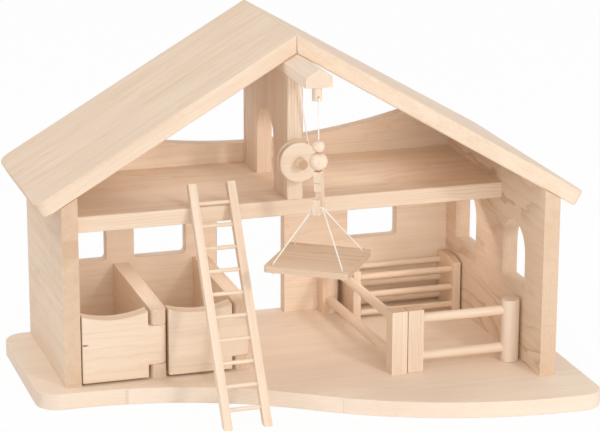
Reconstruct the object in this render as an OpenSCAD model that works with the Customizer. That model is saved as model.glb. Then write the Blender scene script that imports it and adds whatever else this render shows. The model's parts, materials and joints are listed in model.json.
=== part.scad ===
// Wooden toy barn: an open-fronted barn on a curved base, with a hay loft, two stalls with
// swinging doors, a paddock with a gate, a hay rack, a loose ladder and a working hoist.
// Lengths are in millimetres and angles in degrees.
// House frame: x runs right from the left wall's outer face, y runs back from the left wall's
// front edge, z runs up from the top of the base. The model's origin is the middle of its
// bounding box on the underside of the base.

/* [Boards] */
// Thickness of the solid boards
board_t = 20; // [19:0.5:21]
// Thickness of the back wall
back_t = 17; // [15:0.5:19]

/* [House] */
// Width over the outer faces of the side walls
house_w = 581; // [575:1:590]
// Depth of the left wall
left_wall_d = 215; // [212:1:217]
// How far the right wall stands in front of the left wall
right_wall_lead = 129; // [125:1:132]
// Height of a side wall's outer face
wall_h = 224; // [222:1:227]
// Pitch of the roof
roof_pitch = 30; // [29.5:0.5:30]
// Overhang of each eave beyond the wall, measured level
eave_overhang = 21.5; // [20:0.5:23]
// Overhang of the roof behind the back wall
roof_back_overhang = 15; // [12:1:18]
// Radius of the roof's eave corners
roof_corner_r = 15; // [12:1:18]

/* [Base] */
// Base edge to the left of the left wall
base_left = 36; // [34:1:38]
// Base edge to the right of the right wall
base_right = 36; // [34:1:38]
// Base edge behind the left wall's front
base_back = 218; // [215:1:220]
// Front edge of the base in front of the left wall
base_front_left = 20; // [18:1:22]
// Front edge of the base in front of the paddock
base_front_right = 205; // [203:1:207]
// Radius of the base's corners
base_corner_r = 28; // [24:1:30]
// Radius of the hollow part of the curved front edge
base_hollow_r = 460; // [450:5:470]

/* [Openings] */
// Height of the window sills
sill_z = 93; // [91:1:95]
// Height of the window and doorway heads in the back wall
head_z = 160; // [155:1:165]
// Width of the windows in the back wall
window_w = 68.5; // [66:0.5:69]
// Corner radius of the windows in the back wall
window_r = 5; // [4:0.5:6]
// Width of the doorway in the back wall
doorway_w = 92; // [90:1:93]
// Width of the arched openings
arch_w = 72; // [70:1:73]
// Height of the arched openings in the right wall
arch_h = 80; // [78:1:82]
// Height of the arched passage in the loft partition
passage_h = 93; // [90:1:95]

/* [Loft] */
// Height of the loft floor's underside
loft_z = 190; // [189:0.5:191]
// Distance of the loft's front edge behind the left wall's front
loft_front = 7; // [6:0.5:8]
// Lowest point of the back wall's curved top
back_top_z = 234.4; // [233:0.2:236]
// Radius of the back wall's curved top
back_top_r = 830; // [800:10:860]

/* [Ridge beam and hoist] */
// Width of the ridge beam
beam_w = 33; // [32:0.5:34]
// Height of the ridge beam's upright sides
beam_side_h = 12.5; // [12:0.5:13]
// How far the beam stands in front of the left wall's front
beam_lead = 87; // [86:0.5:88]
// Diameter of the peg under the beam's nose
peg_d = 11.5; // [11:0.5:12]
// Length of the peg below the beam
peg_drop = 17; // [16:0.5:18]
// Diameter of the string
string_d = 1.6; // [1.5:0.1:1.7]
// Diameter of the small bead
small_bead_d = 15; // [14:0.5:16]
// Diameter of the large bead
large_bead_d = 22; // [21:0.5:22]
// Height of the hook's slot, where the tray's strings hang
saddle_z = 224; // [223:0.5:225]
// Length of the hook
hook_h = 52.5; // [51:0.5:54]
// Depth of the hook from its back to its tip
hook_d = 21; // [20:0.5:21]
// Thickness of the hook
hook_t = 8.5; // [8:0.5:9]
// Turn of the hook away from the house's front
hook_turn = 38; // [34:1:40]
// Turn of the tray away from the house's front
tray_turn = 34.5; // [30:0.5:38]
// Side of the square tray
tray_side = 103; // [100:1:106]
// Thickness of the tray
tray_t = 7.5; // [7:0.5:8]
// Height of the tray's top face
tray_z = 163; // [162:0.5:164]
// Distance between the tray's string holes
tray_hole_gap = 85.5; // [80:0.5:88]

/* [Winch] */
// Height of the winch axle
winch_z = 261; // [260:0.5:262]
// Diameter of the winch's front disc and back flange
winch_d = 49; // [48:0.5:50]
// Diameter of the spool between them
spool_d = 32; // [31:0.5:33]
// Diameter of the turning knob
knob_d = 14; // [13:0.5:15]
// Diameter of the winch axle
axle_d = 8; // [7.5:0.5:8.5]

/* [Stalls] */
// Height of the stall doors and dividers
stall_h = 88; // [86:1:89]
// Middle of the left divider
divider_left_x = 116.5; // [116:0.5:117]
// Middle of the right divider
divider_right_x = 221.5; // [221:0.5:222]
// Sag of a stall door's hollowed top edge
door_sag = 7; // [6:0.5:8]

/* [Paddock] */
// Height of the gate and fence posts
post_h = 80; // [79:0.5:81]
// Left side of the fence
fence_x = 389.5; // [389:0.5:390]
// Diameter of the fence and gate rails
rail_d = 12; // [11:0.5:12.5]
// Height of the upper rail's centre
upper_rail_z = 65.7; // [65:0.1:67]
// Height of the lower rail's centre
lower_rail_z = 17.5; // [17:0.1:19]
// Turn of the fence from square, about its front post
fence_turn = 1.7; // [0:0.1:1.9]
// Diameter of the gate's round hinge post
hinge_post_d = 22.6; // [21:0.2:22.6]

/* [Hay rack] */
// Height of the rack's side panels at the middle of their crowned top
rack_h = 71; // [70:0.5:73]
// Radius of the crowned top
rack_top_r = 110; // [90:5:150]
// Depth of the rack's side panels
rack_d = 62.5; // [61:0.5:63]
// Thickness of the rack's side panels
rack_t = 10; // [9.5:0.5:10.5]
// Diameter of the rack's bars
bar_d = 8; // [7:0.5:8]

/* [Ladder] */
// Length of the ladder's rails
ladder_len = 299; // [290:1:305]
// Distance between the middles of the ladder's rails
ladder_gap = 48.5; // [46:0.5:49]
// Diameter of the rungs
rung_d = 5; // [4.5:0.5:5.5]
// Number of rungs
rung_count = 10; // [10:1:10]

/* [Hidden] */
$fn = 64;

// Wood as photographed: pale, fine-grained and unfinished
wood = [0.93, 0.80, 0.66];
wood_light = [0.96, 0.86, 0.73];
wood_warm = [0.88, 0.73, 0.58];
string_white = [0.95, 0.92, 0.86];

eps = 0.01;
big = 1000;

// House
ridge_x = house_w / 2;
ridge_z = wall_h + ridge_x * tan(roof_pitch);
right_in = house_w - board_t;
back_in = left_wall_d - back_t;
loft_top = loft_z + board_t;
roof_back = left_wall_d + roof_back_overhang;
// The right roof board's front edge runs from the ridge to just in front of the right wall
roof_front_slope = (right_wall_lead + 1) / ridge_x;
eave_len = (ridge_x + eave_overhang) / cos(roof_pitch);

// Bounding box of the whole barn in the house frame
box_mid_x = (house_w + base_right - base_left) / 2;
box_mid_y = (roof_back - base_front_right) / 2;

// Beam and hoist
beam_bottom = ridge_z - beam_w / 2 * tan(roof_pitch) - beam_side_h;
peg_y = -beam_lead + 9.3;
peg_socket = 12;
peg_hole_z = beam_bottom - 12.2;
peg_front = peg_y - peg_d / 2;
bend_r = 1.05;
string_y = peg_front - bend_r;
string_hole_d = 2.6;
bore_z = beam_bottom + 7;
string_top = peg_hole_z - 5;
bead_bore_d = 3;
// Hook profile: u runs forward from its back and w up from its lower end
slot_u = 11.5;
slot_w = 7;
spine_d = 8;
block_d = 12.5;
block_w = 27;
tip_u = 15;
tip_w = 20.5;
slot_play = 0.35;
hook_r = 1.5;
groove_w = 38;
hook_hole = 12;
// The hook leans until its slot hangs under the string's hole, the middle of its top block
hook_lean = atan((slot_u - block_d / 2) / (hook_h - slot_w));
hook_top = saddle_z + (hook_h - slot_w) / cos(hook_lean);

// Winch: stations along y, from the front
wheel_t = 5;
wheel_front = -12;
spool_front = wheel_front + wheel_t;
spool_len = 9;
flange_t = 4;
flange_back = spool_front + spool_len + flange_t;
knob_len = 12;
axle_depth = 40;
axle_play = 0.06;
// The winding stands clear of the spool that turns inside it
wind_r = spool_d / 2 + string_d / 2 + 0.3;
wind_turns = 2.75;
wind_pitch = 2.2;
wind_steps = 24;
wind_exit_y = 0.2;

// Stalls
door_gap = 0.3;
door_axis_y = 8;
door_half = board_t / 2;
notch_low = 19;
notch_high = 69;
notch_back = 11.5;
door_pin_d = 6;
door_play = 0.08;
door_floor_gap = 3;
door_leaf_end = 13.5;

// Paddock
fence_front_y = -72;
fence_len = 249.7;
latch_gap = 1.2;
gate_axis_x = 548;
gate_axis_y = -61.5;
gate_rail_y = -60;
gate_pin_d = 6;
latch_x = fence_x + board_t + latch_gap;

// Rack
rack_left = 410.5;
rack_right = 558.5;
rack_gap = 0.3;
rack_mid_y = back_in - rack_gap - rack_d / 2;
rack_bar_z = [8, 32, 56.5];
rack_bar_pitch = 44;

// Ladder: leans on the loft's front edge with its feet beside the base
ladder_x = 187.25;
ladder_rail_t = 10;
ladder_foot_y = -138.5;
ladder_foot_z = -board_t;
ladder_rise = loft_top - ladder_foot_z;
ladder_run = loft_front - 0.1 - ladder_foot_y;
ladder_lean = atan(ladder_run / ladder_rise) - asin(ladder_rail_t / 2 / norm([ladder_run, ladder_rise]));
rung_first = 22.4;
rung_step = 28.06;

module in_place() {
  translate([-box_mid_x, -box_mid_y, board_t]) children();
}

// A flat plate from [x, y] of size [w, h] with rounded corners
module soft_plate(w, h, r) {
  translate([r, 0]) square([w - 2 * r, h]);
  translate([0, r]) square([w, h - 2 * r]);
  for (x = [r, w - r], y = [r, h - r]) translate([x, y]) circle(r = r);
}

// An upright arch: a rectangle with a half-round head, its sill on y = 0
module arch(w, h) {
  translate([-w / 2, 0]) square([w, h - w / 2]);
  translate([0, h - w / 2]) circle(r = w / 2);
}

// A profile in y and z, given thickness along x from x0
module slab_x(x0, t) {
  translate([x0, 0, 0]) rotate([90, 0, 90]) linear_extrude(t) children();
}

// A profile in x and z, given thickness along y from y0
module slab_y(y0, t) {
  translate([0, y0 + t, 0]) rotate([90, 0, 0]) linear_extrude(t) children();
}

// A cylinder along x, y or z between two stations
module rod_x(x0, x1, y, z, d) {
  translate([x0, y, z]) rotate([0, 90, 0]) cylinder(d = d, h = x1 - x0);
}

module rod_y(y0, y1, x, z, d) {
  translate([x, y1, z]) rotate([90, 0, 0]) cylinder(d = d, h = y1 - y0);
}

module rod_z(z0, z1, x, y, d) {
  translate([x, y, z0]) cylinder(d = d, h = z1 - z0);
}

// The space under the roof boards
module under_roof() {
  translate([0, big / 2, 0]) rotate([90, 0, 0]) linear_extrude(big)
    polygon([[-big / 4, -big / 4], [-big / 4, wall_h - big / 4 * tan(roof_pitch)],
             [ridge_x, ridge_z], [house_w + big / 4, wall_h - big / 4 * tan(roof_pitch)],
             [house_w + big / 4, -big / 4]]);
}

// Outline of the base: straight sides, and a front edge that swings out in two arcs
front_drop = base_front_right - base_front_left;
front_start = 5;
front_end = house_w - 1;
front_run = front_end - front_start;
base_bulge_r = (front_run * front_run + front_drop * front_drop) / (2 * front_drop) - base_hollow_r;
hollow_share = base_hollow_r / (base_hollow_r + base_bulge_r);
turn_x = front_start + front_run * hollow_share;
turn_y = -base_front_left - front_drop * hollow_share;

module base_outline() {
  difference() {
    union() {
      translate([-base_left, -base_front_left])
        soft_plate(turn_x + base_left, base_back + base_front_left, base_corner_r);
      translate([front_start, turn_y])
        square([turn_x - front_start, base_back - turn_y]);
    }
    translate([front_start, -base_front_left - base_hollow_r]) circle(r = base_hollow_r, $fn = 256);
  }
  intersection() {
    translate([turn_x - base_corner_r, -base_front_right])
      soft_plate(house_w + base_right - turn_x + base_corner_r,
                 base_back + base_front_right, base_corner_r);
    union() {
      translate([front_end, base_bulge_r - base_front_right])
        circle(r = base_bulge_r, $fn = 256);
      translate([front_end, -base_front_right]) square([2 * base_right, big]);
    }
    translate([turn_x, -big / 2]) square(big);
  }
}

// Dowels that stand in the base: [x, y] of each
dowel_d = 8;
dowel_half = 10.5;
wall_dowels = [[board_t / 2, 40], [board_t / 2, 170],
               [house_w - board_t / 2, -95], [house_w - board_t / 2, 40], [house_w - board_t / 2, 170]];
post_dowels = [[divider_left_x, 60], [divider_left_x, 160], [divider_right_x, 60], [divider_right_x, 160],
               fence_post(0), fence_post(fence_len)];
loft_dowel_y = [50, 160];
function fence_post(along) = [fence_x + board_t / 2 - along * sin(fence_turn),
                              fence_front_y + board_t / 2 + along * cos(fence_turn)];

module base_dowel_set(d, more) {
  for (p = concat(wall_dowels, post_dowels)) rod_z(-dowel_half - more, dowel_half + more, p[0], p[1], d);
}

module loft_dowel_set(d, more) {
  for (y = loft_dowel_y) {
    rod_x(board_t - dowel_half - more, board_t + dowel_half + more, y, loft_z + board_t / 2, d);
    rod_x(right_in - dowel_half - more, right_in + dowel_half + more, y, loft_z + board_t / 2, d);
  }
}

module base_board() {
  color(wood) in_place() difference() {
    translate([0, 0, -board_t]) linear_extrude(board_t) base_outline();
    base_dowel_set(dowel_d, 1);
    rod_z(-12, 1, gate_axis_x, gate_axis_y, gate_pin_d);
  }
}

module left_wall() {
  color(wood) in_place() difference() {
    intersection() {
      cube([board_t, left_wall_d, ridge_z]);
      under_roof();
    }
    base_dowel_set(dowel_d, 1);
    loft_dowel_set(dowel_d, 1);
  }
}

module right_wall() {
  color(wood) in_place() difference() {
    intersection() {
      translate([right_in, -right_wall_lead, 0])
        cube([board_t, left_wall_d + right_wall_lead, ridge_z]);
      under_roof();
    }
    for (y = [-arch_w / 2, 127]) translate([0, y, 0])
      slab_x(right_in - 1, board_t + 2) translate([0, sill_z]) arch(arch_w, arch_h);
    base_dowel_set(dowel_d, 1);
    loft_dowel_set(dowel_d, 1);
  }
}

window_x = [29.7, 134.3, 422.2];
doorway_x = 243.5;

module back_wall() {
  color(wood) in_place() difference() {
    intersection() {
      translate([board_t, back_in, 0]) cube([house_w - 2 * board_t, back_t, ridge_z]);
      under_roof();
    }
    translate([0, back_in - 1, 0]) {
      for (x = window_x) slab_y(0, back_t + 2)
        translate([x, sill_z]) soft_plate(window_w, head_z - sill_z, window_r);
      slab_y(0, back_t + 2) translate([doorway_x, -window_r - 1])
        soft_plate(doorway_w, head_z + window_r + 1, window_r);
      slab_y(0, back_t + 2) translate([ridge_x, back_top_z + back_top_r])
        circle(r = back_top_r, $fn = 256);
    }
  }
}

module loft_floor() {
  color(wood) in_place() difference() {
    translate([board_t, loft_front, loft_z])
      cube([house_w - 2 * board_t, back_in - loft_front, board_t]);
    loft_dowel_set(dowel_d, 1);
  }
}

module centre_partition() {
  color(wood) in_place() difference() {
    translate([ridge_x - board_t / 2, loft_front, loft_top])
      cube([board_t, back_in - loft_front, beam_bottom - loft_top]);
    translate([0, 101, loft_top - eps]) slab_x(ridge_x - board_t, 2 * board_t) arch(arch_w, passage_h);
    rod_y(loft_front - 1, loft_front + axle_depth + 1, ridge_x, winch_z, axle_d + 2 * axle_play);
  }
}

module ridge_beam() {
  color(wood_light) in_place() difference() {
    slab_y(-beam_lead, beam_lead + back_in)
      polygon([[ridge_x - beam_w / 2, beam_bottom], [ridge_x + beam_w / 2, beam_bottom],
               [ridge_x + beam_w / 2, beam_bottom + beam_side_h], [ridge_x, ridge_z],
               [ridge_x - beam_w / 2, beam_bottom + beam_side_h]]);
    rod_z(beam_bottom - 1, beam_bottom + peg_socket, ridge_x, peg_y, peg_d);
    rod_z(beam_bottom - 1, bore_z + string_hole_d / 2, ridge_x, wind_exit_y, string_hole_d);
    rod_y(peg_y, wind_exit_y, ridge_x, bore_z, string_hole_d);
  }
}

// A roof board in its own slope: s runs down the slope from the ridge, y runs back
module roof_board(front_slope) {
  run = eave_len;
  lead = front_slope * run * cos(roof_pitch);
  r = roof_corner_r;
  lean = atan(front_slope * cos(roof_pitch));
  // Centre of the front corner's arc, tangent to the eave and the front edge
  cx = run - r;
  cy = -front_slope * cx * cos(roof_pitch) + r / cos(lean);
  polygon([[-board_t, front_slope * board_t * cos(roof_pitch)], [cx - r * sin(lean), cy - r * cos(lean)],
           [cx, cy], [cx, roof_back - r], [cx, roof_back], [-board_t, roof_back]]);
  translate([cx - eps, cy]) square([r + eps, roof_back - r - cy]);
  translate([cx, cy]) circle(r = r);
  translate([cx, roof_back - r]) circle(r = r);
}

module roof_left() {
  color(wood) in_place() intersection() {
    translate([ridge_x, 0, ridge_z]) mirror([1, 0, 0]) rotate([0, roof_pitch, 0])
      linear_extrude(board_t) roof_board(0);
    translate([ridge_x - big, -big / 2, 0]) cube([big, big, big]);
  }
}

module roof_right() {
  color(wood) in_place() intersection() {
    translate([ridge_x, 0, ridge_z]) rotate([0, roof_pitch, 0])
      linear_extrude(board_t) roof_board(roof_front_slope);
    translate([ridge_x, -big / 2, 0]) cube([big, big, big]);
  }
}

module base_dowels() {
  color(wood_warm) in_place() base_dowel_set(dowel_d, 0);
}

module loft_dowels() {
  color(wood_warm) in_place() loft_dowel_set(dowel_d, 0);
}

module hoist_peg() {
  color(wood) in_place() difference() {
    rod_z(beam_bottom - peg_drop, beam_bottom + peg_socket, ridge_x, peg_y, peg_d);
    rod_z(peg_hole_z, beam_bottom + peg_socket + 1, ridge_x, peg_y, string_hole_d);
    rod_y(peg_y - peg_d, peg_y + string_hole_d / 2, ridge_x, peg_hole_z, string_hole_d);
    rod_y(peg_y, peg_y + peg_d, ridge_x, bore_z, string_hole_d);
  }
}

module winch_knob() {
  color(wood_warm) in_place() {
    rod_y(wheel_front - knob_len, wheel_front, ridge_x, winch_z, knob_d);
    rod_y(wheel_front, loft_front + axle_depth, ridge_x, winch_z, axle_d);
  }
}

module winch_wheel() {
  color(wood_light) in_place() difference() {
    rod_y(wheel_front, spool_front, ridge_x, winch_z, winch_d);
    rod_y(wheel_front - 1, spool_front + 1, ridge_x, winch_z, axle_d);
  }
}

module winch_spool() {
  color(wood) in_place() difference() {
    union() {
      rod_y(spool_front, flange_back, ridge_x, winch_z, spool_d);
      rod_y(flange_back - flange_t, flange_back, ridge_x, winch_z, winch_d);
    }
    rod_y(spool_front - 1, flange_back + 1, ridge_x, winch_z, axle_d);
  }
}

// A tube of n sides and diameter d along the points of path, with flat ends.
// Each ring stands square to the mean of the directions before and after its point.
function unit(v) = v / norm(v);
function heading(path, i) =
  i == 0 ? unit(path[1] - path[0])
  : i == len(path) - 1 ? unit(path[i] - path[i - 1])
  : unit(unit(path[i] - path[i - 1]) + unit(path[i + 1] - path[i]));
function ring(c, t, side, d, n) = let (a = unit(cross(side, t)), b = cross(t, a))
  [for (k = [0:n - 1]) c + d / 2 * (a * cos(360 * k / n) + b * sin(360 * k / n))];

module tube(path, d, n, side) {
  m = len(path);
  points = [for (i = [0:m - 1]) each ring(path[i], heading(path, i), side, d, n)];
  walls = [for (i = [0:m - 2], k = [0:n - 1]) each let (a = i * n + k, b = i * n + (k + 1) % n)
    [[a, a + n, b], [b, a + n, b + n]]];
  start = [for (k = [1:n - 2]) [0, k, k + 1]];
  end = [for (k = [1:n - 2]) [(m - 1) * n, (m - 1) * n + k + 1, (m - 1) * n + k]];
  polyhedron(points, concat(walls, start, end));
}

// The string on the spool: turns at a steady pitch, running down from the spool's right side.
// Its outer end leaves straight along the line to the beam.
leave_angle = asin(wind_r / (beam_bottom - winch_z));
function wind_point(turn) = let (a = leave_angle - 360 * turn)
  [ridge_x + wind_r * cos(a), wind_exit_y - turn * wind_pitch, winch_z + wind_r * sin(a)];
leave_dir = unit([ridge_x, wind_exit_y, beam_bottom] - wind_point(0));
end_dir = unit(wind_point(wind_turns) - wind_point(wind_turns - 1 / wind_steps));
leave_point = wind_point(0) + string_d * leave_dir;
wind_path = concat([leave_point], [for (i = [0:wind_turns * wind_steps]) wind_point(i / wind_steps)],
                   [wind_point(wind_turns) + string_d * end_dir]);
wind_gap = min([for (i = [0:len(wind_path) - 1], j = [i + wind_steps / 2:1:len(wind_path) - 1])
  norm(wind_path[i] - wind_path[j])]) - string_d;
echo(least_gap_in_winding = wind_gap);

module winch_winding() {
  color(string_white) in_place() tube(wind_path, string_d, 6, [0, 1, 0]);
}

// The string from the spool up to the beam, forward inside it and out of the peg's front hole
// It bends round the lower lip of the peg's front hole.
lip_z = peg_hole_z - string_hole_d / 2;
winch_route = [
  leave_point,
  (leave_point + [ridge_x, wind_exit_y, beam_bottom]) / 2,
  [ridge_x, wind_exit_y, beam_bottom],
  [ridge_x, wind_exit_y, bore_z - 0.9],
  [ridge_x, wind_exit_y - 0.7, bore_z + 0.2],
  [ridge_x, wind_exit_y - 3.5, bore_z + 0.3],
  [ridge_x, peg_y + 3.5, bore_z + 0.3],
  [ridge_x, peg_y + 0.7, bore_z + 0.2],
  [ridge_x, peg_y, bore_z - 0.9],
  [ridge_x, peg_y, peg_hole_z + 0.9],
  [ridge_x, peg_y - 0.7, lip_z + bend_r + 0.1],
  [ridge_x, peg_y - 2, lip_z + bend_r],
  for (a = [90:-30:0]) [ridge_x, peg_front - bend_r * cos(a), lip_z + bend_r * sin(a)],
  [ridge_x, string_y, string_top]
];

module winch_string() {
  color(string_white) in_place() tube(winch_route, string_d, 8, [1, 0, 0]);
}

module hoist_string() {
  color(string_white) in_place()
    tube([[ridge_x, string_y, string_top], [ridge_x, string_y, hook_top + 15],
          [ridge_x, string_y, hook_top - hook_hole]], string_d, 8, [1, 0, 0]);
}

// A bead touches what it rests on along the rim of its bore
function rim_h(d) = sqrt(d * d - bead_bore_d * bead_bore_d) / 2;
large_bead_z = hook_top + bead_bore_d / 2 * tan(hook_lean) + rim_h(large_bead_d);
small_bead_z = large_bead_z + rim_h(large_bead_d) + rim_h(small_bead_d);

module bead(z, d) {
  translate([ridge_x, string_y, z]) difference() {
    sphere(d = d);
    translate([0, 0, -d]) cylinder(d = bead_bore_d, h = 2 * d);
  }
}

module small_bead() {
  color(wood) in_place() bead(small_bead_z, small_bead_d);
}

module large_bead() {
  color(wood_light) in_place() bead(large_bead_z, large_bead_d);
}

// A frame on the string's line, turned from the house's front: x runs forward
module hoist_frame(turn) {
  translate([ridge_x, string_y, 0]) rotate([0, 0, -90 - turn]) children();
}

module hook_profile() {
  difference() {
    union() {
      soft_plate(spine_d, hook_h, hook_r);
      translate([0, block_w]) soft_plate(block_d, hook_h - block_w, hook_r);
      soft_plate(hook_d, slot_w, hook_r);
      translate([tip_u, 0]) soft_plate(hook_d - tip_u, tip_w, hook_r);
    }
    translate([block_d - 1, groove_w]) square([2, 1.2]);
  }
}

module hook() {
  color(wood) in_place() hoist_frame(hook_turn) difference() {
    translate([0, 0, saddle_z]) rotate([0, hook_lean, 0]) translate([-slot_u, hook_t / 2, -slot_w])
      rotate([90, 0, 0]) linear_extrude(hook_t) hook_profile();
    rod_z(hook_top - hook_hole, hook_top + 5, 0, 0, bead_bore_d);
  }
}

hole = tray_hole_gap / 2;
tray_r = 4;

module tray() {
  color(wood) in_place() hoist_frame(tray_turn) difference() {
    translate([-tray_side / 2, -tray_side / 2, tray_z - tray_t])
      linear_extrude(tray_t) soft_plate(tray_side, tray_side, tray_r);
    for (u = [-hole, hole], v = [-hole, hole])
      translate([u, v, tray_z - tray_t - 1]) cylinder(d = bead_bore_d, h = tray_t + 2);
  }
}

// Each tray string runs from one corner through the hook's slot to the next corner.
// side is 1 for the front pair of corners and -1 for the back pair.
loop_z = saddle_z + string_d / 2 + slot_play;
function tray_route(side) = let (u = side * 1.2, v = hook_t / 2)
  [[side * hole, -hole, tray_z - tray_t - 1.5],
   [side * hole, -hole, tray_z],
   [side * (hole - 2.5), 2.4 - hole, tray_z + 4.5],
   [u, -v - 2.2, loop_z - 2.2],
   [u, -v - 0.45, loop_z],
   [u, v + 0.45, loop_z],
   [u, v + 2.2, loop_z - 2.2],
   [side * (hole - 2.5), hole - 2.4, tray_z + 4.5],
   [side * hole, hole, tray_z],
   [side * hole, hole, tray_z - tray_t - 1.5]];
knot_d = 4.2;

module tray_strings() {
  color(string_white) in_place() hoist_frame(tray_turn) for (side = [-1, 1]) {
    tube(tray_route(side), string_d, 8, [side, 0, 0.2]);
    for (v = [-hole, hole])
      translate([side * hole, v, tray_z - tray_t - knot_d / 2 - 0.05]) sphere(d = knot_d, $fn = 24);
  }
}

// A stall divider: its rounded front end is cut back in the middle to hold the door's knuckle
module divider(x) {
  translate([x, 0, 0]) difference() {
    union() {
      translate([-door_half, door_axis_y, 0]) cube([board_t, back_in - door_axis_y, stall_h]);
      rod_z(0, stall_h, 0, door_axis_y, board_t);
    }
    translate([-board_t, door_axis_y - board_t, notch_low])
      cube([2 * board_t, board_t + notch_back, notch_high - notch_low]);
    rod_z(-1, stall_h - 8, 0, door_axis_y, door_pin_d);
  }
}

module stall_divider_left() {
  color(wood) in_place() difference() {
    divider(divider_left_x);
    base_dowel_set(dowel_d, 1);
  }
}

module stall_divider_right() {
  color(wood) in_place() difference() {
    divider(divider_right_x);
    base_dowel_set(dowel_d, 1);
  }
}

// A stall door in front of its divider: a leaf with a hollowed top, and a round knuckle.
// free_x is the leaf's free edge and axis_x the pin's middle.
module stall_door(free_x, axis_x) {
  leaf_end = axis_x - door_leaf_end;
  leaf_w = leaf_end - free_x;
  hollow_r = (leaf_w * leaf_w / 4 + door_sag * door_sag) / (2 * door_sag);
  difference() {
    union() {
      slab_y(door_axis_y - door_half, board_t) difference() {
        translate([free_x, door_floor_gap]) square([leaf_w, stall_h - door_floor_gap]);
        translate([free_x + leaf_w / 2, stall_h - door_sag + hollow_r]) circle(r = hollow_r, $fn = 96);
      }
      translate([leaf_end - eps, door_axis_y - door_half, notch_low + door_gap])
        cube([door_leaf_end + eps, board_t, notch_high - notch_low - 2 * door_gap]);
      rod_z(notch_low + door_gap, notch_high - door_gap, axis_x, door_axis_y, board_t);
    }
    rod_z(0, stall_h, axis_x, door_axis_y, door_pin_d + 2 * door_play);
  }
}

module stall_door_left() {
  color(wood_light) in_place() stall_door(board_t + 1.2, divider_left_x);
}

module stall_door_right() {
  color(wood_light) in_place() stall_door(divider_left_x + door_half + 1.5, divider_right_x);
}

module door_pin(x) {
  rod_z(0, stall_h - 8, x, door_axis_y, door_pin_d);
}

module left_door_pin() {
  color(wood_warm) in_place() door_pin(divider_left_x);
}

module right_door_pin() {
  color(wood_warm) in_place() door_pin(divider_right_x);
}

rail_seat = 8;

module rail_pair_y(y0, y1, x) {
  for (z = [lower_rail_z, upper_rail_z]) rod_y(y0, y1, x, z, rail_d);
}

module rail_pair_x(x0, x1, y) {
  for (z = [lower_rail_z, upper_rail_z]) rod_x(x0, x1, y, z, rail_d);
}

// The fence's own frame: its front post's middle is on the origin, and it runs back along y
module fence_frame() {
  translate(concat(fence_post(0), 0)) rotate([0, 0, fence_turn]) children();
}

module fence_rail_pair() {
  fence_frame() rail_pair_y(board_t / 2 - rail_seat, fence_len - board_t / 2 + rail_seat, 0);
}

module fence_post_at(along) {
  fence_frame() translate([-board_t / 2, along - board_t / 2, 0]) cube([board_t, board_t, post_h]);
}

module fence_rear_post() {
  color(wood) in_place() difference() {
    fence_post_at(fence_len);
    fence_rail_pair();
    base_dowel_set(dowel_d, 1);
  }
}

module fence_front_post() {
  color(wood) in_place() difference() {
    fence_post_at(0);
    fence_rail_pair();
    base_dowel_set(dowel_d, 1);
  }
}

module fence_rails() {
  color(wood) in_place() fence_rail_pair();
}

module gate_rail_pair() {
  rail_pair_x(latch_x + board_t - rail_seat, gate_axis_x - 3, gate_rail_y);
}

module gate_hinge_post() {
  color(wood_light) in_place() difference() {
    rod_z(0.3, post_h, gate_axis_x, gate_axis_y, hinge_post_d);
    gate_rail_pair();
    rod_z(0, 26, gate_axis_x, gate_axis_y, gate_pin_d + 2 * door_play);
  }
}

module gate_latch_post() {
  color(wood_light) in_place() difference() {
    translate([latch_x, fence_front_y, 0.3]) cube([board_t, board_t, post_h - 0.3]);
    gate_rail_pair();
  }
}

module gate_rails() {
  color(wood_light) in_place() difference() {
    gate_rail_pair();
    rod_z(0, 26, gate_axis_x, gate_axis_y, gate_pin_d + 2 * door_play);
  }
}

module gate_pivot_pin() {
  color(wood_warm) in_place() rod_z(-12, 25, gate_axis_x, gate_axis_y, gate_pin_d);
}

bar_seat = 6;

module rack_bar_set() {
  for (y = [rack_mid_y - rack_bar_pitch / 2, rack_mid_y + rack_bar_pitch / 2], z = rack_bar_z)
    rod_x(rack_left + rack_t - bar_seat, rack_right - rack_t + bar_seat, y, z, bar_d);
}

// A rack side: a board with softened corners and a crowned top
module rack_side(x) {
  difference() {
    slab_x(x, rack_t) intersection() {
      translate([rack_mid_y - rack_d / 2, 0]) square([rack_d, rack_h]);
      translate([rack_mid_y, rack_h - rack_top_r]) circle(r = rack_top_r, $fn = 128);
    }
    rack_bar_set();
  }
}

module rack_left_side() {
  color(wood) in_place() rack_side(rack_left);
}

module rack_right_side() {
  color(wood) in_place() rack_side(rack_right - rack_t);
}

module rack_bars() {
  color(wood_light) in_place() rack_bar_set();
}

// The ladder's own frame: its feet are on z = 0 of this frame's slope
module ladder_frame() {
  translate([ladder_x, ladder_foot_y, ladder_foot_z]) rotate([-ladder_lean, 0, 0]) children();
}

module rung_set() {
  for (i = [0:rung_count - 1]) translate([0, 0, rung_first + i * rung_step])
    rod_x(-ladder_gap / 2 - 2, ladder_gap / 2 + 2, 0, 0, rung_d);
}

// One rail, cut level at the foot so that it stands flat
module ladder_rail(side) {
  difference() {
    ladder_frame() difference() {
      translate([side * ladder_gap / 2 - ladder_rail_t / 2, -ladder_rail_t / 2, -ladder_rail_t])
        cube([ladder_rail_t, ladder_rail_t, ladder_len + ladder_rail_t]);
      rung_set();
    }
    translate([0, -big / 2, ladder_foot_z - big]) cube([big, big, big]);
  }
}

module ladder_left_rail() {
  color(wood_light) in_place() ladder_rail(-1);
}

module ladder_right_rail() {
  color(wood_light) in_place() ladder_rail(1);
}

module ladder_rungs() {
  color(wood_light) in_place() ladder_frame() rung_set();
}

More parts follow.
